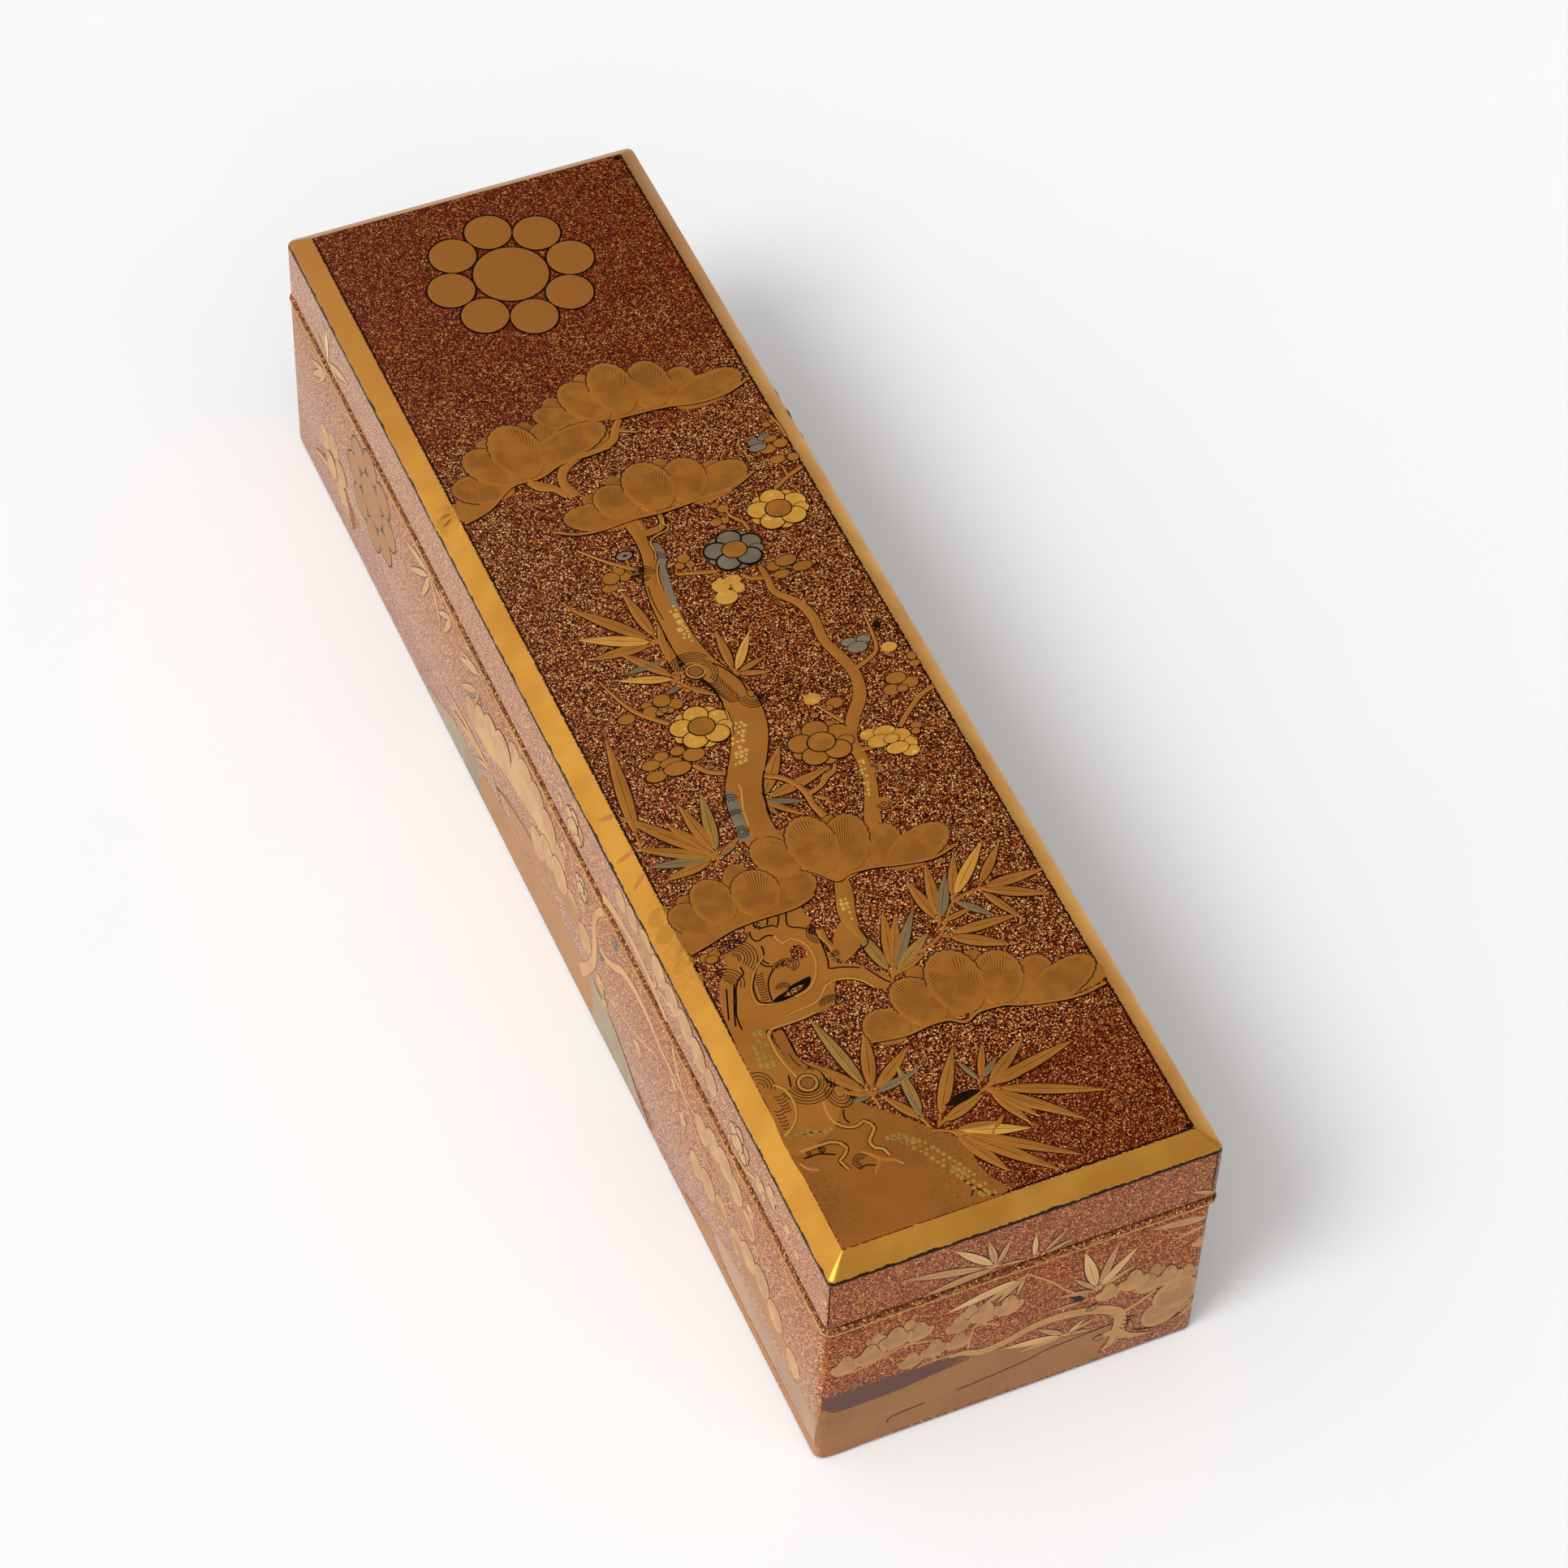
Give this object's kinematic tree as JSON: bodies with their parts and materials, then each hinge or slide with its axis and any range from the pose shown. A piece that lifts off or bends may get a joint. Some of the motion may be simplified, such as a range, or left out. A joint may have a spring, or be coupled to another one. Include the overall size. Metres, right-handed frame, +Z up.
{
  "type": "letter box",
  "caption": "Long lacquered letter box: a bevelled lid with a thin skirt and round bead lifts off walls with a raised inner rim and a floor board let into the walls.",
  "frame": {"origin": "on the table under the middle of the lid", "axes": "+Z up, X across the box, Y along the box; the near end of the picture is at -Y and its bright long side at -X"},
  "size_m": [0.0728, 0.2608, 0.0567],
  "materials": {
    "nashiji_top": "clear gloss lacquer over gold flakes",
    "nashiji_side": "clear gloss lacquer over gold flakes",
    "nashiji_bead": "gloss lacquer, dense gold flakes",
    "gold_ground": "satin gold powder lacquer",
    "maki_e_gold": "satin gold powder relief",
    "maki_e_silver": "satin silver powder relief, tarnished",
    "dark_lacquer": "gloss dark lacquer",
    "bamboo": "bare"
  },
  "bodies": {
    "box": {"box_bottom_board": "dark_lacquer", "box_far_wall": "nashiji_side", "box_left_wall": "nashiji_side", "box_near_wall": "nashiji_side", "box_right_wall": "nashiji_side", "floor_peg_1": "bamboo", "floor_peg_2": "bamboo", "floor_peg_3": "bamboo", "floor_peg_4": "bamboo", "floor_peg_5": "bamboo", "floor_peg_6": "bamboo", "floor_peg_7": "bamboo", "floor_peg_8": "bamboo", "inner_rim_far": "gold_ground", "inner_rim_left": "gold_ground", "inner_rim_near": "gold_ground", "inner_rim_right": "gold_ground", "wall_peg_far_left_1": "bamboo", "wall_peg_far_left_2": "bamboo", "wall_peg_far_left_3": "bamboo", "wall_peg_far_right_1": "bamboo", "wall_peg_far_right_2": "bamboo", "wall_peg_far_right_3": "bamboo", "wall_peg_near_left_1": "bamboo", "wall_peg_near_left_2": "bamboo", "wall_peg_near_left_3": "bamboo", "wall_peg_near_right_1": "bamboo", "wall_peg_near_right_2": "bamboo", "wall_peg_near_right_3": "bamboo"},
    "lid": {"lid_far_bead": "nashiji_bead", "lid_far_skirt": "nashiji_side", "lid_left_bead": "nashiji_bead", "lid_left_skirt": "nashiji_side", "lid_near_bead": "nashiji_bead", "lid_near_skirt": "nashiji_side", "lid_peg_1": "bamboo", "lid_peg_2": "bamboo", "lid_peg_3": "bamboo", "lid_peg_4": "bamboo", "lid_peg_5": "bamboo", "lid_peg_6": "bamboo", "lid_peg_7": "bamboo", "lid_peg_8": "bamboo", "lid_right_bead": "nashiji_bead", "lid_right_skirt": "nashiji_side", "lid_top_board": "nashiji_top"}
  },
  "joints": [
    {"name": "lid_lift", "type": "slide", "parent": "box", "child": "lid", "axis": [0, 0, 1], "range_m": [0, 0.06]}
  ]
}
